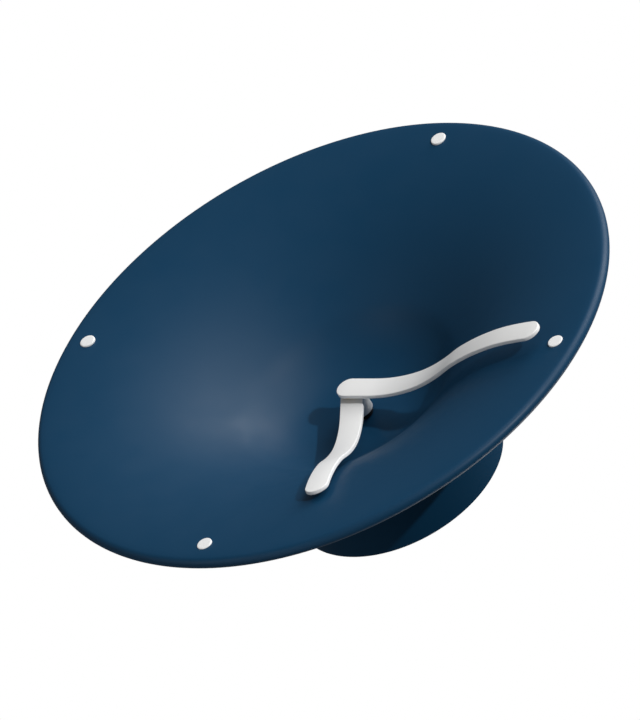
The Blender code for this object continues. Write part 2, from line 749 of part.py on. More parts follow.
def make_fixings():
    flange_low = FRONT_PLATE_FRONT + GAP
    flange_high = flange_low + BUSH_FLANGE_THICKNESS
    bush_front = HUB_BOTTOM - BUSH_FRONT_DROP
    bush = [(BUSH_BORE, BUSH_REAR), (BUSH_RADIUS, BUSH_REAR), (BUSH_RADIUS, flange_low),
            (BUSH_FLANGE_RADIUS, flange_low), (BUSH_FLANGE_RADIUS, flange_high),
            (BUSH_RADIUS, flange_high), (BUSH_RADIUS, bush_front), (BUSH_BORE, bush_front)]
    turned("threaded_bush", bush, BRASS)
    bore = BUSH_RADIUS + GAP
    washer_low = flange_high + WASHER_CLEARANCE
    washer_high = FLOOR_FRONT - SHELL_WALL - WASHER_CLEARANCE
    turned("rubber_washer", [(bore, washer_low), (WASHER_RADIUS, washer_low),
                             (WASHER_RADIUS, washer_high), (bore, washer_high)], RUBBER)
    nut_low = FLOOR_FRONT + GAP
    nut_high = HUB_BOTTOM - GAP
    turned("fixing_nut", [(bore, nut_low), (NUT_RADIUS, nut_low), (NUT_RADIUS, nut_high),
                          (bore, nut_high)], BLACK)


# ---------------------------------------------------------------- movement case

def make_case():
    half = CASE_SIZE / 2
    inner = half - CASE_WALL
    top = FRONT_PLATE_REAR - GAP
    case = add_part("movement_case", block((-half, half), (-half, half), (CASE_REAR, top)), BLACK)
    train_bay = block((-inner, inner), (BAY_TOP + BAY_WALL, inner), (CASE_REAR + CASE_WALL, top + 1.0))
    cut(case, train_bay)
    cell_bay = block((-inner, inner), (-inner, BAY_TOP), (CASE_REAR - 1.0, BAY_FLOOR))
    cut(case, cell_bay)
    shaft_hole = cylinder(KNOB_SHAFT_RADIUS + GAP, CASE_REAR - 1.0, CASE_REAR + 3.0, 12, centre=KNOB_AT)
    cut(case, shaft_hole)


def make_front_plate():
    half = CASE_SIZE / 2
    outlines = [rectangle((-half, half), (-half, half)), circle_points(BUSH_RADIUS + GAP, 24)]
    mesh = flat_plate(outlines, FRONT_PLATE_REAR, FRONT_PLATE_FRONT)
    add_part("movement_front_plate", mesh, BLACK)


def make_bridge():
    """The plate between the going train and the motion work, with a hole for every arbor."""
    outlines = [rectangle(BRIDGE_X, BRIDGE_Y)]
    outlines.append(circle_points(MINUTE_ARBOR_RADIUS + GAP, 12))
    outlines.append(circle_points(KNOB_SHAFT_RADIUS + GAP, 12, KNOB_AT))
    for place in (MINUTE_WHEEL_AT, THIRD_AT, SECONDS_AT, INTERMEDIATE_AT, ROTOR_AT):
        outlines.append(circle_points(WHEEL_ARBOR_RADIUS + GAP, 8, place))
    add_part("train_bridge", flat_plate(outlines, BRIDGE_REAR, BRIDGE_FRONT), NATURAL)


# ---------------------------------------------------------------- wheels

def step_from(start, distance, degrees):
    x, y = polar(distance, degrees)
    return (start[0] + x, start[1] + y)


def centres(module, teeth_a, teeth_b):
    return module * (teeth_a + teeth_b) / 2


AXIS = (0.0, 0.0)
MINUTE_WHEEL_AT = step_from(AXIS, centres(MOTION_MODULE, CANNON_TEETH, MINUTE_WHEEL_TEETH), 180.0)
KNOB_AT = step_from(MINUTE_WHEEL_AT, centres(MOTION_MODULE, KNOB_TEETH, MINUTE_WHEEL_TEETH), 298.0)
THIRD_AT = step_from(AXIS, centres(TRAIN_MODULE, CENTRE_TEETH, PINION_TEETH), 60.0)
SECONDS_AT = step_from(THIRD_AT, centres(TRAIN_MODULE, THIRD_TEETH, PINION_TEETH), 20.0)
INTERMEDIATE_AT = step_from(SECONDS_AT, centres(TRAIN_MODULE, SECONDS_TEETH, PINION_TEETH), 300.0)
ROTOR_AT = step_from(INTERMEDIATE_AT, centres(TRAIN_MODULE, INTERMEDIATE_TEETH, PINION_TEETH), 285.0)
REAR_PIVOT = CASE_REAR + CASE_WALL + GAP
FRONT_PIVOT = BRIDGE_FRONT - ARBOR_END


def arbor_wheel(name, place, arbor, levels, look):
    """A wheel and its pinion on one arbor; each level is (teeth, module, (low, high))."""
    part = add_part(name, cylinder(*arbor, ARBOR_SEGMENTS), look, (*place, 0.0))
    for teeth, module, (low, high) in levels:
        join(part, flat_plate([gear_points(teeth, module)], low, high), (*place, 0.0))
    return part


def make_train():
    centre = (MINUTE_ARBOR_RADIUS, REAR_PIVOT, MINUTE_TOP - HAND_SKIN - 0.4)
    arbor = (WHEEL_ARBOR_RADIUS, REAR_PIVOT, FRONT_PIVOT)
    levels = [(CENTRE_TEETH, TRAIN_MODULE, CENTRE_WHEEL_Z), (CANNON_TEETH, MOTION_MODULE, CANNON_Z)]
    arbor_wheel("minute_arbor", AXIS, centre, levels, BRASS)
    levels = [(THIRD_TEETH, TRAIN_MODULE, THIRD_WHEEL_Z), (PINION_TEETH, TRAIN_MODULE, THIRD_PINION_Z)]
    arbor_wheel("third_wheel", THIRD_AT, arbor, levels, NATURAL)
    levels = [(SECONDS_TEETH, TRAIN_MODULE, SECONDS_WHEEL_Z),
              (PINION_TEETH, TRAIN_MODULE, SECONDS_PINION_Z)]
    arbor_wheel("seconds_wheel", SECONDS_AT, arbor, levels, NATURAL)
    levels = [(INTERMEDIATE_TEETH, TRAIN_MODULE, INTERMEDIATE_WHEEL_Z),
              (PINION_TEETH, TRAIN_MODULE, INTERMEDIATE_PINION_Z)]
    arbor_wheel("intermediate_wheel", INTERMEDIATE_AT, arbor, levels, NATURAL)
    levels = [(PINION_TEETH, TRAIN_MODULE, ROTOR_PINION_Z)]
    rotor = arbor_wheel("rotor", ROTOR_AT, arbor, levels, IRON)
    join(rotor, cylinder(ROTOR_RADIUS, *ROTOR_MAGNET_Z, 20), (*ROTOR_AT, 0.0))


def make_motion_work():
    arbor = (WHEEL_ARBOR_RADIUS, BRIDGE_REAR + ARBOR_END, FRONT_PLATE_REAR - GAP)
    levels = [(MINUTE_WHEEL_TEETH, MOTION_MODULE, MINUTE_WHEEL_Z),
              (HOUR_PINION_TEETH, MOTION_MODULE, HOUR_PINION_Z)]
    arbor_wheel("minute_wheel", MINUTE_WHEEL_AT, arbor, levels, NATURAL)
    bore = circle_points(HOUR_TUBE_BORE, 20)
    wheel = flat_plate([gear_points(HOUR_WHEEL_TEETH, MOTION_MODULE), bore], *HOUR_WHEEL_Z)
    hour = add_part("hour_wheel", wheel, NATURAL)
    tube_top = HOUR_TOP - GAP
    join(hour, flat_plate([circle_points(HOUR_TUBE_RADIUS, 20), bore], HOUR_WHEEL_Z[0], tube_top))


def make_setting_knob():
    """The knob behind the movement, on a shaft that meets the minute wheel."""
    at = (*KNOB_AT, 0.0)
    shaft = cylinder(KNOB_SHAFT_RADIUS, *KNOB_SHAFT_Z, KNOB_SHAFT_SEGMENTS)
    knob = add_part("setting_knob", shaft, KNOB_RED, at)
    join(knob, flat_plate([gear_points(KNOB_TEETH, MOTION_MODULE)], *KNOB_PINION_Z), at)
    grip = []
    for i in range(KNOB_RIDGES):
        for offset, radius in ((0.0, KNOB_GRIP_RADIUS), (0.5, KNOB_GROOVE_RADIUS)):
            grip.append(polar(radius, 360.0 * (i + offset) / KNOB_RIDGES + KNOB_GRIP_TURN))
    join(knob, flat_plate([grip], *KNOB_GRIP_Z), at)


# ---------------------------------------------------------------- motor and circuit

def make_stator():
    """A flat iron ring round the rotor, with a limb up to the bar that passes through the coil."""
    low, high = STATOR_Z
    axis_x, axis_y = ROTOR_AT
    bar_y = (COIL_Y - STATOR_BAR_HALF, COIL_Y + STATOR_BAR_HALF)
    ring = cylinder(STATOR_RING_RADIUS, low, high, 24, centre=ROTOR_AT)
    stator = add_part("stator", ring, IRON)
    limb_x = (axis_x + STATOR_LIMB[0], axis_x + STATOR_LIMB[1])
    join(stator, block(limb_x, (axis_y, bar_y[1]), STATOR_Z))
    join(stator, block((STATOR_BAR_LEFT, axis_x + STATOR_LIMB_OVERLAP), bar_y, STATOR_Z))
    cut(stator, cylinder(ROTOR_RADIUS + GAP, low - 1.0, high + 1.0, 20, centre=ROTOR_AT))


def make_coil():
    """A flanged bobbin, slotted for the stator's bar, and the copper winding on it."""
    low, high = STATOR_Z
    middle = (low + high) / 2
    bobbin = add_part("coil_bobbin", cylinder_x(BOBBIN_RADIUS, *BOBBIN_X, COIL_Y, middle, 16), BLACK)
    for span in FLANGE_SPANS:
        join(bobbin, cylinder_x(FLANGE_RADIUS, *span, COIL_Y, middle, 20))
    slot_half = STATOR_BAR_HALF + GAP
    cut(bobbin, block(BOBBIN_SLOT_X, (COIL_Y - slot_half, COIL_Y + slot_half), (low - GAP, high + GAP)))
    winding = add_part("coil_winding", cylinder_x(COIL_RADIUS, *COIL_X, COIL_Y, middle, 24), COPPER)
    bore_x = (COIL_X[0] - 2.0, COIL_X[1] + 2.0)
    cut(winding, cylinder_x(BOBBIN_RADIUS + COIL_CLEARANCE, *bore_x, COIL_Y, middle, 16))


def make_circuit():
    add_part("circuit_board", flat_plate([rectangle(BOARD_X, BOARD_Y)], *BOARD_Z), BOARD_GREEN)
    part_low = BOARD_Z[1] + GAP
    can = cylinder(CRYSTAL_RADIUS, -CRYSTAL_HALF_LENGTH, CRYSTAL_HALF_LENGTH, 16)
    crystal = add_part("quartz_crystal", can, STEEL, (CRYSTAL_X, CRYSTAL_Y, part_low + CRYSTAL_RADIUS))
    crystal.rotation_euler = (math.pi / 2, 0.0, 0.0)
    chip = add_part("clock_chip", block(CHIP_X, CHIP_Y, (part_low, part_low + CHIP_HEIGHT)), BLACK)
    bevel = chip.modifiers.new("Soft edge", "BEVEL")
    bevel.width = CHIP_EDGE * MM
    bevel.segments = 1


# ---------------------------------------------------------------- battery

def make_battery():
    can_front = CELL_NUB_END - CELL_NUB_LENGTH
    can_rear = CELL_NUB_END - BATTERY_LENGTH
    can = cylinder_x(BATTERY_RADIUS, can_rear, can_front, BATTERY_Y, BATTERY_Z, 28)
    cell = add_part("battery_cell", can, CELL_GREY)
    join(cell, cylinder_x(CELL_NUB_RADIUS, can_front - CELL_NUB_ROOT, CELL_NUB_END,
                          BATTERY_Y, BATTERY_Z, 16))
    inner = CASE_SIZE / 2 - CASE_WALL
    plate_front = inner - GAP
    plate = block((plate_front - CONTACT_THICKNESS, plate_front),
                  (BATTERY_Y - CONTACT_HALF_Y, BATTERY_Y + CONTACT_HALF_Y),
                  (BATTERY_Z - CONTACT_HALF_Z, BATTERY_Z + CONTACT_HALF_Z))
    add_part("positive_contact", plate, STEEL)
    make_battery_spring(-plate_front, can_rear - GAP)


def make_battery_spring(wall_x, cell_x):
    """A conical contact spring between the case's wall and the cell's flat end."""
    count = int(SPRING_TURNS * SPRING_STEPS_PER_TURN) + 1
    curve = bpy.data.curves.new("negative_spring", "CURVE")
    curve.dimensions = "3D"
    curve.bevel_depth = SPRING_WIRE * MM
    curve.bevel_resolution = 1
    curve.use_fill_caps = True
    spline = curve.splines.new("POLY")
    spline.points.add(count - 1)
    for i, point in enumerate(spline.points):
        share = i / (count - 1)
        radius = SPRING_WIDE + (SPRING_NARROW - SPRING_WIDE) * share
        angle = 2 * math.pi * SPRING_TURNS * share
        x = wall_x + SPRING_WIRE + (cell_x - wall_x - 2 * SPRING_WIRE) * share
        point.co = (x * MM, (BATTERY_Y + radius * math.cos(angle)) * MM,
                    (BATTERY_Z + radius * math.sin(angle)) * MM, 1.0)
    spring = bpy.data.objects.new("negative_spring", curve)
    PARTS.objects.link(spring)
    spring.parent = WALL_EMPTY
    curve.materials.append(make_material("negative_spring", STEEL))


# ---------------------------------------------------------------- assembly

clear_scene()
PARTS = new_collection("wall_clock")
TOOLS = new_collection("cutters")
WALL_EMPTY = bpy.data.objects.new("wall_centre", None)
bpy.context.scene.collection.objects.link(WALL_EMPTY)
WALL_EMPTY.rotation_euler = (math.pi / 2, 0.0, 0.0)

make_dish()
make_markers()
make_drum()
make_back_plate()
make_battery_door()
make_screws()
make_hanger_plate()
make_hands()
make_fixings()
make_case()
make_front_plate()
make_bridge()
make_train()
make_motion_work()
make_setting_knob()
make_stator()
make_coil()
make_circuit()
make_battery()
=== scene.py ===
"""Looks of the wall clock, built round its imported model.

Lengths are in millimetres in the clock's own frame, with x to three o'clock, y to twelve o'clock
and z out of the wall, and place() turns them into the row frame in metres.
"""
import math

import bmesh
import bpy
from mathutils import Matrix, Vector


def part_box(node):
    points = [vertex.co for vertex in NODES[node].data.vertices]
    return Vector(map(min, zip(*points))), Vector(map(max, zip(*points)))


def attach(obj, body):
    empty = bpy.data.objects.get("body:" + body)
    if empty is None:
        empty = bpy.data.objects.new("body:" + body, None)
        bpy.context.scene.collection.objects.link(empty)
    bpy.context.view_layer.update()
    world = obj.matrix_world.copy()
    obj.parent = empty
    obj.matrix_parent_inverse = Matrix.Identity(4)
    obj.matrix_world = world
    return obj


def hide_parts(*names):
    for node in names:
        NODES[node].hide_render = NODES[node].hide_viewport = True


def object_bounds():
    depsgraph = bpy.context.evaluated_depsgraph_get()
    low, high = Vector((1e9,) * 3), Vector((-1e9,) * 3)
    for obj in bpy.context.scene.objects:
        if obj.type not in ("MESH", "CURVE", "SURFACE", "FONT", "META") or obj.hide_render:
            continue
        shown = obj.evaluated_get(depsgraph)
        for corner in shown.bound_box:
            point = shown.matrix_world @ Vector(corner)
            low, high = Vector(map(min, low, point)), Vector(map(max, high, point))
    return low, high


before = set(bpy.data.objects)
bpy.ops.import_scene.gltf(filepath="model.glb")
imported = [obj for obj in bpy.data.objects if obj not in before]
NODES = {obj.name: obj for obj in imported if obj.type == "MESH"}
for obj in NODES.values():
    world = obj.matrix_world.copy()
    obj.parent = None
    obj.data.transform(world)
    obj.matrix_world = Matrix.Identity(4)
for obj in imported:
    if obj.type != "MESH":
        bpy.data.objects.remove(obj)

MM = 0.001
CAD_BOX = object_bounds()

# Dial and drum
DIAL_RADIUS = CAD_BOX[1].x / MM
BEAD_RADIUS = 3.2
BEAD_PLANE = 89.4
BEAD_CIRCLE = DIAL_RADIUS - BEAD_RADIUS
SHELL_WALL = 3.0
FLOOR_FRONT = 42.84
BUSH_HOLE_RADIUS = 4.35
FLOOR_BACK_RADIUS = 36.0
DRUM_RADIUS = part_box("rear_drum")[1].x / MM
DRUM_WALL = 2.5
DRUM_FLANGE = 3.0
LIP_HEIGHT = 2.0
LIP_WALL = 1.2
DRUM_FRONT = -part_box("rear_drum")[0].y / MM
NECK_START = 49.5
NECK_END_RADIUS = 63.0
NECK_PULL = 5.5
GAP = 0.3
EDGE_BREAK = 0.35
SMOOTH_ANGLE = 40.0
OVERRUN = 1.0                 # how far a drill passes beyond the wall it cuts
HOLE_SIDES = 20
QUARTER = (0.0, 22.5, 45.0, 67.5, 90.0)
# The dish's front surface as (radius, z, slope).
DISH_KNOTS = (
    (18.2, FLOOR_FRONT, 0.0),
    (51.4, 56.9, 0.92),
    (57.1, 61.7, 0.707),
    (67.7, 68.6, 0.62),
    (82.1, 76.7, 0.50),
    (95.5, 82.6, 0.38),
    (123.8, 90.3, 0.17),
    (137.5, 92.1, 0.09),
    (BEAD_CIRCLE, BEAD_PLANE + BEAD_RADIUS, 0.0),
)
# Where the dish's cross-section has points, as (first, last, how many).
FRONT_SPANS = (
    (BUSH_HOLE_RADIUS, 18.0, 6),
    (20.0, 49.0, 18),
    (50.2, 64.0, 13),
    (66.5, BEAD_CIRCLE, 32),
)
BEAD_SPAN = (75.0, -150.0, 19)                      # in degrees round the bead
UNDERSIDE_SPAN = (141.0, NECK_END_RADIUS + 3.0, 26)
INNER_SPAN = (50.0, 39.0, 6)                        # the underside inside the drum
NECK_SPAN = (0.0, 1.0, 13)                          # along the neck's curve
BISECTIONS = 40
BOSS_CIRCLE = 47.0
BOSS_RADIUS = 3.4
PILOT_RADIUS = 1.5
BACK_PILOT_LOW = 1.0          # where the back screws' pilot holes start, inside the open back
BOSS_TOP_GAP = 0.6
BOSS_STEPS = 24
BOSS_ANGLES = (45.0, 135.0, 225.0, 315.0)
BACK_SCREW_CIRCLE = 48.6
BACK_SCREW_ANGLES = (20.0, 160.0, 200.0, 340.0)
BACK_PLATE_THICKNESS = 4.0
LEDGE_RADIUS = 46.0

# Battery door
DOOR_HALF_WIDTH = 29.7
DOOR_PIVOT_Y = -31.5
DOOR_PIN_RADIUS = 0.8
DOOR_EDGE = 0.3
DOOR_PIN_GAP = 0.02
NOTCH_RADIUS = 5.0
NOTCH_RISE = 1.0
NOTCH_STEPS = 25
RIB_COUNT = 5
RIB_START = 7.0
RIB_PITCH = 1.8
RIB_HALF_LENGTH = 6.0
RIB_HALF_WIDTH = 0.4
RIB_HEIGHT = 0.25
RIB_GAP = 0.01
RIB_EDGE = 0.08
# The width of the broken edges on carried-over pieces, and which edges are sharp enough for one.
SOFT_EDGES = {
    "back_plate": 0.3, "hanger_plate": 0.2, "movement_case": 0.4, "movement_front_plate": 0.4,
    "train_bridge": 0.15, "circuit_board": 0.08, "stator": 0.1, "positive_contact": 0.08,
    "battery_cell": 0.3,
}
SOFT_EDGE_ANGLE = 50.0
SOFT_EDGE_SEGMENTS = 2

# Markers
MARKER_CIRCLE = 137.5
MARKER_RADIUS = 3.84
MARKER_TOP = 92.75
MARKER_EDGE = 0.45
MARKER_INNER_RINGS = (2.4, 1.2)
MARKER_LIFT = 0.02            # the disc's underside stands this far off the dish
MARKER_LEAST_SIDE = 0.05
MARKER_PLACES = ((12, 90.0), (3, 0.0), (6, 270.0), (9, 180.0))

# Hands
HAND_WIDTH = 12.0
HAND_THICKNESS = 2.05
HAND_EDGE = 0.4
HAND_SINK = 0.1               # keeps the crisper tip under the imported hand's highest point
HAND_STEPS = 72
HAND_END_STEPS = 14
SOCKET_END = 0.8              # how far the arbor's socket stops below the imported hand's top
MINUTE_DRILL_DEPTH = 3.0      # how far under that top the socket's drill starts, in the air
HOUR_DRILL = (-4.0, 2.0)      # the ends of the short hand's drill from its top, both in the air
MINUTE_TOP = 61.37
HOUR_TOP = 56.62
MINUTE_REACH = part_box("minute_hand")[1].x / MM
HOUR_REACH = 113.0
HOUR_HAND_ANGLE = 65.0
ARBOR_HOLE = 1.7
TUBE_HOLE = 2.8
NUT_BORE = 4.3
# The minute hand's upper face as (distance from the axis, z, slope).
HAND_KNOTS = (
    (13.0, MINUTE_TOP, 0.0),
    (39.6, 65.7, 0.31),
    (67.7, 79.56, 0.65),
    (82.2, 87.34, 0.47),
    (99.8, 94.4, 0.34),
    (116.1, 98.7, 0.20),
    (132.5, 101.3, 0.13),
)

TURNED_STEPS = 224
SMALL_STEPS = 64
ROD_STEPS = 32
SLOPE_STEP = 0.01


# ---------------------------------------------------------------- shape helpers

def hermite(knots, value):
    """A smooth height through (position, height, slope) knots; constant slope past the ends."""
    if value <= knots[0][0]:
        return knots[0][1] + knots[0][2] * (value - knots[0][0])
    for (p0, h0, s0), (p1, h1, s1) in zip(knots, knots[1:]):
        if value <= p1:
            width = p1 - p0
            t = (value - p0) / width
            rise = h0 * (2 * t**3 - 3 * t**2 + 1) + h1 * (3 * t**2 - 2 * t**3)
            bend = s0 * (t**3 - 2 * t**2 + t) + s1 * (t**3 - t**2)
            return rise + width * bend
    return knots[-1][1] + knots[-1][2] * (value - knots[-1][0])


def slope_of(knots, value):
    """The slope of the curve through the knots, from two points close by."""
    rise = hermite(knots, value + SLOPE_STEP) - hermite(knots, value - SLOPE_STEP)
    return rise / (2 * SLOPE_STEP)


def polar(radius, degrees):
    """The point at a radius and an angle, anticlockwise from the first axis."""
    angle = math.radians(degrees)
    return (radius * math.cos(angle), radius * math.sin(angle))


def place(x, y, z):
    """A point of the clock's own frame, in the row frame."""
    return Vector((x, -z, y)) * MM


def span(low, high, count):
    """Even steps from low to high, both included."""
    return [low + (high - low) * i / (count - 1) for i in range(count)]


def piece(name, points, faces, body, nodes, material):
    """A new smooth-shaded piece from points in the clock's frame, standing for CAD nodes."""
    mesh = bpy.data.meshes.new(name)
    mesh.from_pydata([place(*point) for point in points], [], faces)
    work = bmesh.new()
    work.from_mesh(mesh)
    bmesh.ops.recalc_face_normals(work, faces=work.faces)
    work.to_mesh(mesh)
    work.free()
    mesh.shade_smooth()
    mesh.set_sharp_from_angle(angle=math.radians(SMOOTH_ANGLE))
    made = bpy.data.objects.new(name, mesh)
    bpy.context.scene.collection.objects.link(made)
    mesh.materials.append(material)
    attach(made, body)
    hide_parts(*nodes)
    return made


def turned_shape(outline, steps, centre=(0.0, 0.0)):
    """Points and faces of a closed (radius, z) outline turned about an axis along z."""
    points = []
    for i in range(steps):
        cos, sin = polar(1.0, 360.0 * i / steps)
        points += [(centre[0] + r * cos, centre[1] + r * sin, z) for r, z in outline]
    count = len(outline)
    faces = []
    for i in range(steps):
        after = (i + 1) % steps
        for k in range(count):
            up = (k + 1) % count
            faces.append((i * count + k, after * count + k, after * count + up, i * count + up))
    return points, faces


def broken_corner(before, corner, after, size):
    """Two points that cut a corner of an outline back by size."""
    made = []
    for other in (before, after):
        away = Vector(other) - Vector(corner)
        made.append(tuple(Vector(corner) + away.normalized() * size))
    return made


def with_broken_corners(outline, size):
    """The outline with every corner cut back by size."""
    made = []
    for i, corner in enumerate(outline):
        made += broken_corner(outline[i - 1], corner, outline[(i + 1) % len(outline)], size)
    return made


def drill(target, radius, low, high, centre=(0.0, 0.0), sides=ROD_STEPS):
    """Cut a round hole along z and keep the result in the mesh."""
    work = bmesh.new()
    middle = place(centre[0], centre[1], (low + high) / 2)
    pose = Matrix.Translation(middle) @ Matrix.Rotation(math.pi / 2, 4, "X")
    bmesh.ops.create_cone(work, cap_ends=True, segments=sides, radius1=radius * MM,
                          radius2=radius * MM, depth=(high - low) * MM, matrix=pose)
    tool_mesh = bpy.data.meshes.new("drill")
    work.to_mesh(tool_mesh)
    work.free()
    tool = bpy.data.objects.new("drill", tool_mesh)
    bpy.context.scene.collection.objects.link(tool)
    cut = target.modifiers.new("Drill", "BOOLEAN")
    cut.operation = "DIFFERENCE"
    cut.object = tool
    cut.solver = "EXACT"
    bpy.context.view_layer.update()
    depsgraph = bpy.context.evaluated_depsgraph_get()
    result = bpy.data.meshes.new_from_object(target.evaluated_get(depsgraph))
    target.modifiers.remove(cut)
    target.data = result
    bpy.data.objects.remove(tool, do_unlink=True)


# ---------------------------------------------------------------- materials

NOISE_RANGE = (0.3, 0.7)      # where nearly all of a noise's values lie
COLOUR_CLOUDS = 14.0          # how many patches of colour, and of gloss, lie along a metre
GLOSS_CLOUDS = 60.0
COLOUR_DETAIL = 4.0           # octaves of each noise
GLOSS_DETAIL = 6.0
GRAIN_DETAIL = 3.0
GLOSS_SPREAD = 0.05
BUMP_STRENGTH = 0.6
ALONG_X = (12.0, 1.0, 1.0)    # scales that squeeze the grain along one axis into lines across it
ALONG_Y = (1.0, 9.0, 1.0)
ALONG_Z = (1.0, 1.0, 9.0)


def new_material(name):
    """A node material and its node and link lists."""
    material = bpy.data.materials.new(name)
    material.use_nodes = True
    return material, material.node_tree.nodes, material.node_tree.links


def noise(nodes, links, scale, detail, stretch=(1.0, 1.0, 1.0)):
    """The value of a noise on the object's own coordinates."""
    source = nodes.new("ShaderNodeTexCoord")
    mapping = nodes.new("ShaderNodeMapping")
    mapping.inputs["Scale"].default_value = stretch
    links.new(source.outputs["Object"], mapping.inputs["Vector"])
    texture = nodes.new("ShaderNodeTexNoise")
    texture.inputs["Scale"].default_value = scale
    texture.inputs["Detail"].default_value = detail
    links.new(mapping.outputs["Vector"], texture.inputs["Vector"])
    return texture.outputs["Fac"]


def ranged(nodes, links, value, low, high):
    """The noise value stretched to run from low to high."""
    scaled = nodes.new("ShaderNodeMapRange")
    scaled.inputs["From Min"].default_value = NOISE_RANGE[0]
    scaled.inputs["From Max"].default_value = NOISE_RANGE[1]
    scaled.inputs["To Min"].default_value = low
    scaled.inputs["To Max"].default_value = high
    links.new(value, scaled.inputs["Value"])
    return scaled.outputs["Result"]


def surface(name, colour, roughness, metallic=0.0, grain=900.0, depth=0.00002, tint=0.06,
            specular=0.5, stretch=(1.0, 1.0, 1.0)):
    """A surface whose colour, gloss and height all vary a little, as moulded or painted ones do."""
    material, nodes, links = new_material(name)
    shader = nodes["Principled BSDF"]
    shader.inputs["Metallic"].default_value = metallic
    shader.inputs["Specular IOR Level"].default_value = specular
    blend = nodes.new("ShaderNodeMix")
    blend.data_type = "RGBA"
    blend.inputs["A"].default_value = (*[c * (1 - tint) for c in colour], 1.0)
    blend.inputs["B"].default_value = (*[c * (1 + tint) for c in colour], 1.0)
    links.new(noise(nodes, links, COLOUR_CLOUDS, COLOUR_DETAIL), blend.inputs["Factor"])
    links.new(blend.outputs["Result"], shader.inputs["Base Color"])
    cloud = noise(nodes, links, GLOSS_CLOUDS, GLOSS_DETAIL, stretch)
    links.new(ranged(nodes, links, cloud, roughness - GLOSS_SPREAD, roughness + GLOSS_SPREAD),
              shader.inputs["Roughness"])
    bump = nodes.new("ShaderNodeBump")
    bump.inputs["Distance"].default_value = depth
    bump.inputs["Strength"].default_value = BUMP_STRENGTH
    height = noise(nodes, links, grain, GRAIN_DETAIL, stretch)
    links.new(ranged(nodes, links, height, 0.0, 1.0), bump.inputs["Height"])
    links.new(bump.outputs["Normal"], shader.inputs["Normal"])
    return material


NAVY = surface("navy_paint", (0.0031, 0.0388, 0.0905), 0.48, grain=1500.0, depth=0.000006,
               tint=0.02, specular=0.22)
# The drum's navy: a little darker than the dish's paint, and darkened further as painted shade for the
# little light that reaches the foot.
NAVY_DRUM_SHADED = surface("navy_drum_paint_and_painted_shade", (0.0017, 0.0275, 0.0640), 0.50, grain=1500.0,
                    depth=0.000006, tint=0.02, specular=0.08)
WHITE = surface("white_paint", (0.80, 0.80, 0.795), 0.45, grain=1500.0, depth=0.000008, tint=0.015)
# The hub's white is brighter than the hands' white paint: painted light for the hub, which sits in
# shade between the short hand and the nut.
HUB_WHITE_LIT = surface("hub_white_with_painted_light", (0.88, 0.88, 0.87), 0.5, grain=1500.0, depth=0.000008, tint=0.02)
BLACK = surface("black_plastic", (0.012, 0.012, 0.013), 0.55, grain=2600.0, depth=0.00003, tint=0.12)
CHARCOAL = surface("charcoal_plastic", (0.028, 0.029, 0.032), 0.6, grain=2200.0, depth=0.00005,
                   tint=0.12)
NUT_BLACK = surface("black_oxide", (0.012, 0.012, 0.013), 0.42, metallic=0.5, grain=1800.0, tint=0.15)
RUBBER = surface("rubber", (0.012, 0.012, 0.012), 0.85, grain=1600.0, depth=0.00004, tint=0.1)
ACETAL = surface("natural_acetal", (0.66, 0.63, 0.54), 0.42, grain=1200.0, tint=0.04)
STEEL = surface("zinc_steel", (0.56, 0.56, 0.58), 0.32, metallic=1.0, grain=800.0, tint=0.08,
                stretch=ALONG_Z)
BRASS = surface("turned_brass", (0.72, 0.52, 0.22), 0.28, metallic=1.0, grain=900.0, tint=0.08,
                stretch=ALONG_Y)
IRON = surface("soft_iron", (0.30, 0.30, 0.31), 0.45, metallic=1.0, grain=900.0, tint=0.1)
COPPER = surface("enamelled_copper", (0.60, 0.24, 0.10), 0.3, metallic=1.0, grain=2600.0,
                 depth=0.00008, tint=0.15, stretch=ALONG_X)
BOARD = surface("board_green", (0.018, 0.11, 0.04), 0.4, grain=700.0, tint=0.2)
SLEEVE = surface("cell_sleeve", (0.15, 0.16, 0.18), 0.3, grain=500.0, tint=0.06)
RED = surface("knob_red", (0.52, 0.04, 0.03), 0.45, grain=1200.0, depth=0.00003, tint=0.08)

CAD_LOOKS = {
    "back_plate": CHARCOAL, "battery_door": CHARCOAL, "hanger_plate": STEEL, "threaded_bush": BRASS,
    "rubber_washer": RUBBER, "movement_case": BLACK, "movement_front_plate": BLACK,
    "train_bridge": ACETAL, "minute_arbor": BRASS, "third_wheel": ACETAL, "seconds_wheel": ACETAL,
    "intermediate_wheel": ACETAL, "rotor": IRON, "minute_wheel": ACETAL, "hour_wheel": ACETAL,
    "setting_knob": RED, "stator": IRON, "coil_bobbin": BLACK, "coil_winding": COPPER,
    "circuit_board": BOARD, "quartz_crystal": STEEL, "clock_chip": BLACK, "battery_cell": SLEEVE,
    "positive_contact": STEEL, "negative_spring": STEEL,
}


def dress_cad_nodes():
    """Give every carried-over CAD node its finish."""
    for name, node in NODES.items():
        look = STEEL if "_screw_" in name else CAD_LOOKS.get(name)
        if look is None:
            continue
        node.data.materials.clear()
        node.data.materials.append(look)


# ---------------------------------------------------------------- dish and drum

def offset_point(radius):
    """The point of the dish's underside behind its front surface at this radius."""
    angle = math.atan(slope_of(DISH_KNOTS, radius))
    return (radius + SHELL_WALL * math.sin(angle),
            hermite(DISH_KNOTS, radius) - SHELL_WALL * math.cos(angle))


def underside_height(radius):
    """The underside's height at a radius, by bisection on the front surface's radius."""
    low, high = radius - 2 * SHELL_WALL, radius
    for _ in range(BISECTIONS):
        middle = (low + high) / 2
        if offset_point(middle)[0] < radius:
            low = middle
        else:
            high = middle
    return offset_point((low + high) / 2)[1]


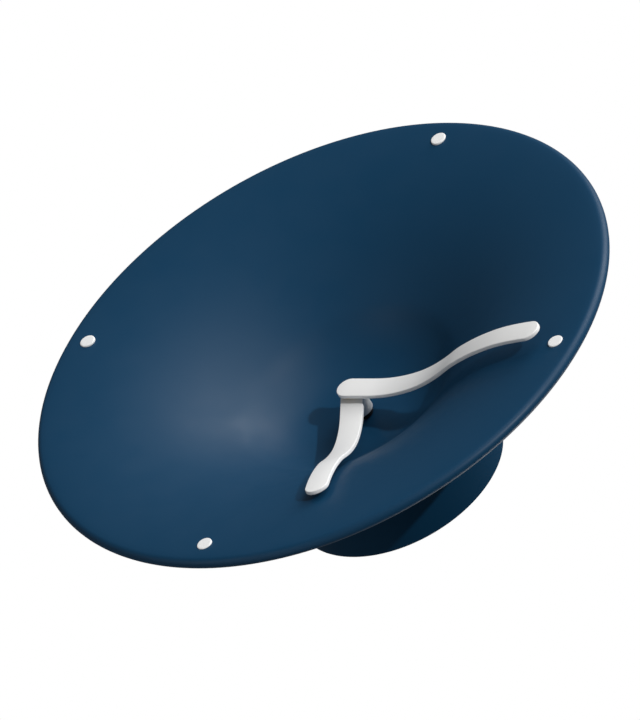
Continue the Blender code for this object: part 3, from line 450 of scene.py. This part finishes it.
def neck_points():
    """The flare from the drum's straight side up into the underside of the dish."""
    end = Vector((NECK_END_RADIUS, underside_height(NECK_END_RADIUS)))
    slope = math.atan(slope_of(DISH_KNOTS, NECK_END_RADIUS - SHELL_WALL / 2))
    start = Vector((DRUM_RADIUS, NECK_START))
    start_pull = start + Vector((0.0, NECK_PULL))
    end_pull = end - Vector(polar(NECK_PULL, math.degrees(slope)))
    points = []
    for t in span(*NECK_SPAN):
        weights = ((1 - t)**3, 3 * t * (1 - t)**2, 3 * t * t * (1 - t), t**3)
        mixed = Vector((0.0, 0.0))
        for weight, point in zip(weights, (start, start_pull, end_pull, end)):
            mixed += weight * point
        points.append(tuple(mixed))
    return points


def dish_outline():
    """The dish's closed cross-section, from the centre hole round the bead and back."""
    skirt_end = DRUM_FRONT + GAP
    skirt_inner = DRUM_RADIUS - DRUM_WALL
    radii = [r for spread in FRONT_SPANS for r in span(*spread)]
    outline = [(r, hermite(DISH_KNOTS, max(r, DISH_KNOTS[0][0]))) for r in radii]
    for degrees in span(*BEAD_SPAN):
        x, z = polar(BEAD_RADIUS, degrees)
        outline.append((BEAD_CIRCLE + x, BEAD_PLANE + z))
    outline += [(r, underside_height(r)) for r in span(*UNDERSIDE_SPAN)]
    outline += list(reversed(neck_points()))
    outline += [(DRUM_RADIUS, skirt_end + EDGE_BREAK), (DRUM_RADIUS - EDGE_BREAK, skirt_end)]
    outline += [(skirt_inner, skirt_end), (skirt_inner, underside_height(skirt_inner))]
    outline += [(r, underside_height(r)) for r in span(*INNER_SPAN)]
    outline.append((FLOOR_BACK_RADIUS, FLOOR_FRONT - SHELL_WALL))
    outline.append((BUSH_HOLE_RADIUS, FLOOR_FRONT - SHELL_WALL))
    return outline


def build_dish():
    """The dish, turned from its cross-section."""
    points, faces = turned_shape(dish_outline(), TURNED_STEPS)
    piece("dish", points, faces, "housing", ["dial_shell"], NAVY)


def build_bosses():
    """The four screw bosses inside the drum, under the dish's floor."""
    low = DRUM_FRONT + GAP
    high = underside_height(BOSS_CIRCLE) - BOSS_TOP_GAP
    outline = [(PILOT_RADIUS, low), (BOSS_RADIUS, low), (BOSS_RADIUS, high), (PILOT_RADIUS, high)]
    for number, degrees in enumerate(BOSS_ANGLES, 1):
        points, faces = turned_shape(outline, BOSS_STEPS, polar(BOSS_CIRCLE, degrees))
        piece("dish_boss_%d" % number, points, faces, "housing", ["dial_shell"], NAVY)


def build_drum():
    """The foot, with a lip that locates it inside the dish's skirt and closes the seam."""
    inner = DRUM_RADIUS - DRUM_WALL
    ledge_low = BACK_PLATE_THICKNESS + GAP
    flange = BOSS_CIRCLE - BOSS_RADIUS
    lip_outer = inner - GAP
    outline = [
        (DRUM_RADIUS, 0.0), (DRUM_RADIUS, DRUM_FRONT), (lip_outer, DRUM_FRONT),
        (lip_outer, DRUM_FRONT + LIP_HEIGHT), (lip_outer - LIP_WALL, DRUM_FRONT + LIP_HEIGHT),
        (lip_outer - LIP_WALL, DRUM_FRONT), (flange, DRUM_FRONT),
        (flange, DRUM_FRONT - DRUM_FLANGE), (inner, DRUM_FRONT - DRUM_FLANGE),
        (inner, ledge_low + DRUM_FLANGE), (LEDGE_RADIUS, ledge_low + DRUM_FLANGE),
        (LEDGE_RADIUS, ledge_low), (inner, ledge_low), (inner, 0.0),
    ]
    points, faces = turned_shape(with_broken_corners(outline, EDGE_BREAK), TURNED_STEPS)
    drum = piece("drum", points, faces, "housing", ["rear_drum"], NAVY_DRUM_SHADED)
    for degrees in BOSS_ANGLES:
        drill(drum, PILOT_RADIUS, DRUM_FRONT - DRUM_FLANGE - OVERRUN, DRUM_FRONT + OVERRUN,
              polar(BOSS_CIRCLE, degrees), HOLE_SIDES)
    for degrees in BACK_SCREW_ANGLES:
        drill(drum, PILOT_RADIUS, BACK_PILOT_LOW, ledge_low + DRUM_FLANGE + OVERRUN,
              polar(BACK_SCREW_CIRCLE, degrees), HOLE_SIDES)


def build_markers():
    """Discs with soft edges whose undersides follow the dish."""
    rings = [(MARKER_RADIUS, None)]
    for degrees in QUARTER:
        x, z = polar(MARKER_EDGE, degrees)
        rings.append((MARKER_RADIUS - MARKER_EDGE + x, MARKER_TOP - MARKER_EDGE + z))
    rings += [(r, MARKER_TOP) for r in MARKER_INNER_RINGS]
    for hour, degrees in MARKER_PLACES:
        centre = polar(MARKER_CIRCLE, degrees)
        points = []
        for radius, height in rings:
            for i in range(SMALL_STEPS):
                x, y = polar(radius, 360.0 * i / SMALL_STEPS)
                x += centre[0]
                y += centre[1]
                z = hermite(DISH_KNOTS, math.hypot(x, y)) + MARKER_LIFT
                if height is not None:
                    z = max(height, z + MARKER_LEAST_SIDE)
                points.append((x, y, z))
        faces = ring_faces(len(rings), SMALL_STEPS)
        faces.append(tuple(range(SMALL_STEPS)))
        last = (len(rings) - 1) * SMALL_STEPS
        faces.append(tuple(range(last, last + SMALL_STEPS)))
        piece("marker_disc_%d" % hour, points, faces, "housing", ["marker_%d" % hour],
              WHITE)


def ring_faces(rings, steps):
    """Quads between neighbouring rings of points."""
    faces = []
    for ring in range(rings - 1):
        for i in range(steps):
            after = (i + 1) % steps
            faces.append((ring * steps + i, ring * steps + after,
                          (ring + 1) * steps + after, (ring + 1) * steps + i))
    return faces


# ---------------------------------------------------------------- back

def slab_shape(outline, low, high, edge):
    """A flat piece between two heights, from an anticlockwise outline, with broken edges."""
    count = len(outline)
    inward = []
    for i, corner in enumerate(outline):
        before = (Vector(corner) - Vector(outline[i - 1])).normalized()
        after = (Vector(outline[(i + 1) % count]) - Vector(corner)).normalized()
        normals = Vector((-before.y, before.x)) + Vector((-after.y, after.x))
        inward.append(normals * (edge / (1 + before.dot(after))))
    points = []
    for height, inset in ((low, 1.0), (low + edge, 0.0), (high - edge, 0.0), (high, 1.0)):
        for corner, shift in zip(outline, inward):
            points.append((corner[0] + shift.x * inset, corner[1] + shift.y * inset, height))
    faces = ring_faces(4, count)
    faces.append(tuple(range(count)))
    faces.append(tuple(range(3 * count, 4 * count)))
    return points, faces


def rod_shape(radius, x_range, y, z, steps=ROD_STEPS):
    """A round bar along x."""
    points = []
    for x in x_range:
        for i in range(steps):
            across, up = polar(radius, 360.0 * i / steps)
            points.append((x, y + across, z + up))
    faces = ring_faces(2, steps)
    faces.append(tuple(range(steps)))
    faces.append(tuple(range(steps, 2 * steps)))
    return points, faces


def door_outline(left, right, bottom, top):
    """The door's outline, with a thumb notch in the middle of its free edge."""
    outline = [(left, bottom), (right, bottom), (right, top)]
    reach = math.sqrt(NOTCH_RADIUS**2 - NOTCH_RISE**2)
    start = -math.degrees(math.asin(NOTCH_RISE / reach))
    for degrees in span(start, -180.0 - start, NOTCH_STEPS):
        x, y = polar(NOTCH_RADIUS, degrees)
        outline.append((x, min(y + top + NOTCH_RISE, top)))
    outline.append((left, top))
    return outline


def build_door():
    """The battery door: a panel with a thumb notch, its hinge pins and five grip ribs."""
    low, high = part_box("battery_door")
    rear, front = -high.y / MM, -low.y / MM
    bottom, top = low.z / MM, high.z / MM
    half = DOOR_HALF_WIDTH
    outline = door_outline(-half, half, bottom, top)
    pieces = {"door_panel": slab_shape(outline, rear, front, DOOR_EDGE)}
    pin_z = (rear + front) / 2
    for side, end in (("left", low.x / MM), ("right", high.x / MM)):
        root = math.copysign(half + DOOR_PIN_GAP, end)
        pieces["door_pin_" + side] = rod_shape(DOOR_PIN_RADIUS, (root, end), DOOR_PIVOT_Y, pin_z)
    for number in range(RIB_COUNT):
        y = top - RIB_START - RIB_PITCH * number
        rib = [(-RIB_HALF_LENGTH, y - RIB_HALF_WIDTH), (RIB_HALF_LENGTH, y - RIB_HALF_WIDTH),
               (RIB_HALF_LENGTH, y + RIB_HALF_WIDTH), (-RIB_HALF_LENGTH, y + RIB_HALF_WIDTH)]
        shape = slab_shape(rib, rear - RIB_HEIGHT, rear - RIB_GAP, RIB_EDGE)
        pieces["door_rib_%d" % (number + 1)] = shape
    for name, (points, faces) in pieces.items():
        piece(name, points, faces, "battery_door_body", ["battery_door"], CHARCOAL)


def soften_cad_nodes():
    """Break the edges of the carried-over housings, plates and contacts."""
    for name, width in SOFT_EDGES.items():
        bevel = NODES[name].modifiers.new("Soft edge", "BEVEL")
        bevel.width = width * MM
        bevel.segments = SOFT_EDGE_SEGMENTS
        bevel.limit_method = "ANGLE"
        bevel.angle_limit = math.radians(SOFT_EDGE_ANGLE)


# ---------------------------------------------------------------- hands

def hand_shape(reach, drop, turn):
    """A strip of even width with round ends and softened edges, bent to the hand's side profile."""
    half = HAND_WIDTH / 2
    along = span(0.0, reach - half, HAND_STEPS)
    arc = [90.0 * i / HAND_END_STEPS for i in range(1, HAND_END_STEPS + 1)]
    layers = []
    for degrees in reversed(QUARTER):
        layers.append((HAND_EDGE * (1 - math.cos(math.radians(degrees))),
                       HAND_EDGE * (1 - math.sin(math.radians(degrees)))))
    layers += [(inset, HAND_THICKNESS - depth) for inset, depth in reversed(layers)]
    cos, sin = polar(1.0, -turn)

    def bent(x, y, depth):
        """A point depth below the upper face, at right angles to it."""
        slope = slope_of(HAND_KNOTS, x)
        height = hermite(HAND_KNOTS, x) - drop
        length = math.hypot(1.0, slope)
        x += slope / length * depth
        return (x * cos - y * sin, x * sin + y * cos, height - depth / length)

    points = []
    for inset, depth in layers:
        radius = half - inset
        rim = [(x, radius) for x in along]
        rim += [(along[-1] + radius * math.sin(math.radians(a)), radius * math.cos(math.radians(a)))
                for a in arc]
        back = [(x, -y) for x, y in reversed(rim[:-1])]
        tail = [(-radius * math.sin(math.radians(a)), -radius * math.cos(math.radians(a))) for a in arc]
        tail += [(x, -y) for x, y in reversed(tail[:-1])]
        points += [bent(x, y, depth) for x, y in rim + back + tail]
    steps = len(points) // len(layers)
    faces = ring_faces(len(layers), steps)
    tip = len(along) + HAND_END_STEPS - 1
    faces += cap_faces(0, steps, tip)
    faces += cap_faces((len(layers) - 1) * steps, steps, tip)
    return points, faces


def cap_faces(base, steps, tip):
    """Faces across the strip, from its tip to its tail, between mirrored points of one rim."""
    faces = [(base + tip - 1, base + tip, base + tip + 1)]
    reach = (steps - 2) // 2
    for i in range(1, reach):
        a, b = (tip - i) % steps, (tip - i - 1) % steps
        c, d = (tip + i + 1) % steps, (tip + i) % steps
        faces.append((base + a, base + b, base + c, base + d))
    ends = (tip - reach, tip - reach - 1, tip + reach)
    faces.append(tuple(base + end % steps for end in ends))
    return faces


def build_hands():
    """The long hand, with a blind socket, and the short one, with a hole for its tube."""
    points, faces = hand_shape(MINUTE_REACH, HAND_SINK, 0.0)
    minute = piece("long_hand", points, faces, "minute_train", ["minute_hand"], WHITE)
    drill(minute, ARBOR_HOLE, MINUTE_TOP - MINUTE_DRILL_DEPTH, MINUTE_TOP - SOCKET_END)
    points, faces = hand_shape(HOUR_REACH, MINUTE_TOP - HOUR_TOP, HOUR_HAND_ANGLE)
    hour = piece("short_hand", points, faces, "hour_train", ["hour_hand"], WHITE)
    drill(hour, TUBE_HOLE, HOUR_TOP + HOUR_DRILL[0], HOUR_TOP + HOUR_DRILL[1])


def build_ring(name, node, body, material, bore):
    """A fine turned ring, with broken edges, in the box of a plain CAD ring."""
    low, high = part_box(node)
    radius = high.x / MM
    rear, front = -high.y / MM, -low.y / MM
    outline = [(bore, rear), (radius, rear), (radius, front), (bore, front)]
    points, faces = turned_shape(with_broken_corners(outline, EDGE_BREAK), SMALL_STEPS)
    piece(name, points, faces, body, [node], material)


def build_hub():
    """The white hub, the brass collet over it and the black nut under it."""
    build_ring("hub_ring", "hour_hand_hub", "hour_train", HUB_WHITE_LIT, TUBE_HOLE)
    build_ring("collet_ring", "minute_hand_collet", "minute_train", BRASS, ARBOR_HOLE)
    build_ring("nut_ring", "fixing_nut", "housing", NUT_BLACK, NUT_BORE)


# ---------------------------------------------------------------- stage

VIEW_HEIGHT = 345.6
VIEW_SHIFT = (-1.858, -6.917)       # the view's centre from the bead's centre, right and up
CAMERA_DISTANCE = 1.2
CLIP_END = 10.0
# Each light as (name, direction towards it, strength, angular size in degrees).
LIGHTS = (
    ("key", (0.82, -0.567, 0.07), 1.90, 1.0),
    ("overhead", (0.29, -0.28, 0.92), 2.38, 45.0),
    ("front", (0.38, -0.78, 0.50), 0.98, 45.0),
    ("low_left", (-0.39, -0.53, -0.75), 0.42, 45.0),
    ("back", (0.10, 0.95, 0.30), 0.80, 30.0),
)
FILL = 0.13
FLOOR_DROP = 1.5
FLOOR_HALF = 0.4


def build_camera():
    """A true isometric view from in front, from three o'clock and from below."""
    third = math.sqrt(1 / 3)
    back = Vector((third, -third, -third))
    up = Vector((0.0, -1.0, 1.0)).normalized()
    right = up.cross(back)
    data = bpy.data.cameras.new("view")
    data.type = "ORTHO"
    data.ortho_scale = VIEW_HEIGHT * MM
    data.clip_end = CLIP_END
    camera = bpy.data.objects.new("view", data)
    bpy.context.scene.collection.objects.link(camera)
    target = place(0.0, 0.0, BEAD_PLANE) + (right * VIEW_SHIFT[0] + up * VIEW_SHIFT[1]) * MM
    turn = Matrix((right, up, back)).transposed().to_4x4()
    camera.matrix_world = Matrix.Translation(target + back * CAMERA_DISTANCE) @ turn
    bpy.context.scene.camera = camera


def sun(name, towards, strength, angle):
    """A light from far off, in the direction given."""
    data = bpy.data.lights.new(name, "SUN")
    data.energy = strength
    data.angle = math.radians(angle)
    lamp = bpy.data.objects.new(name, data)
    bpy.context.scene.collection.objects.link(lamp)
    lamp.rotation_mode = "QUATERNION"
    lamp.rotation_quaternion = Vector(towards).to_track_quat("Z", "Y")


def build_light():
    """Soft studio light, with a white backdrop that only the camera sees at full strength."""
    for name, towards, strength, angle in LIGHTS:
        sun(name, towards, strength, angle)
    world = bpy.data.worlds.new("studio")
    bpy.context.scene.world = world
    world.use_nodes = True
    nodes = world.node_tree.nodes
    links = world.node_tree.links
    seen = nodes["Background"]
    seen.inputs["Color"].default_value = (1.0, 1.0, 1.0, 1.0)
    seen.inputs["Strength"].default_value = 1.0
    fill = nodes.new("ShaderNodeBackground")
    fill.inputs["Color"].default_value = (1.0, 1.0, 1.0, 1.0)
    fill.inputs["Strength"].default_value = FILL
    ray = nodes.new("ShaderNodeLightPath")
    mix = nodes.new("ShaderNodeMixShader")
    links.new(ray.outputs["Is Camera Ray"], mix.inputs["Fac"])
    links.new(fill.outputs["Background"], mix.inputs[1])
    links.new(seen.outputs["Background"], mix.inputs[2])
    links.new(mix.outputs["Shader"], nodes["World Output"].inputs["Surface"])
    bpy.context.scene.view_settings.view_transform = "Standard"


def build_floor():
    """A plain pale floor, well below the wall that the clock hangs on."""
    work = bmesh.new()
    bmesh.ops.create_grid(work, x_segments=1, y_segments=1, size=FLOOR_HALF)
    mesh = bpy.data.meshes.new("floor")
    work.to_mesh(mesh)
    work.free()
    floor = bpy.data.objects.new("floor", mesh)
    floor.location = (0.0, 0.0, -FLOOR_DROP)
    bpy.context.scene.collection.objects.link(floor)
    mesh.materials.append(surface("pale_floor", (0.8, 0.8, 0.79), 0.7, grain=40.0, tint=0.01))


build_camera()
build_light()
build_floor()
dress_cad_nodes()
build_dish()
build_bosses()
build_drum()
build_door()
soften_cad_nodes()
build_markers()
build_hands()
build_hub()
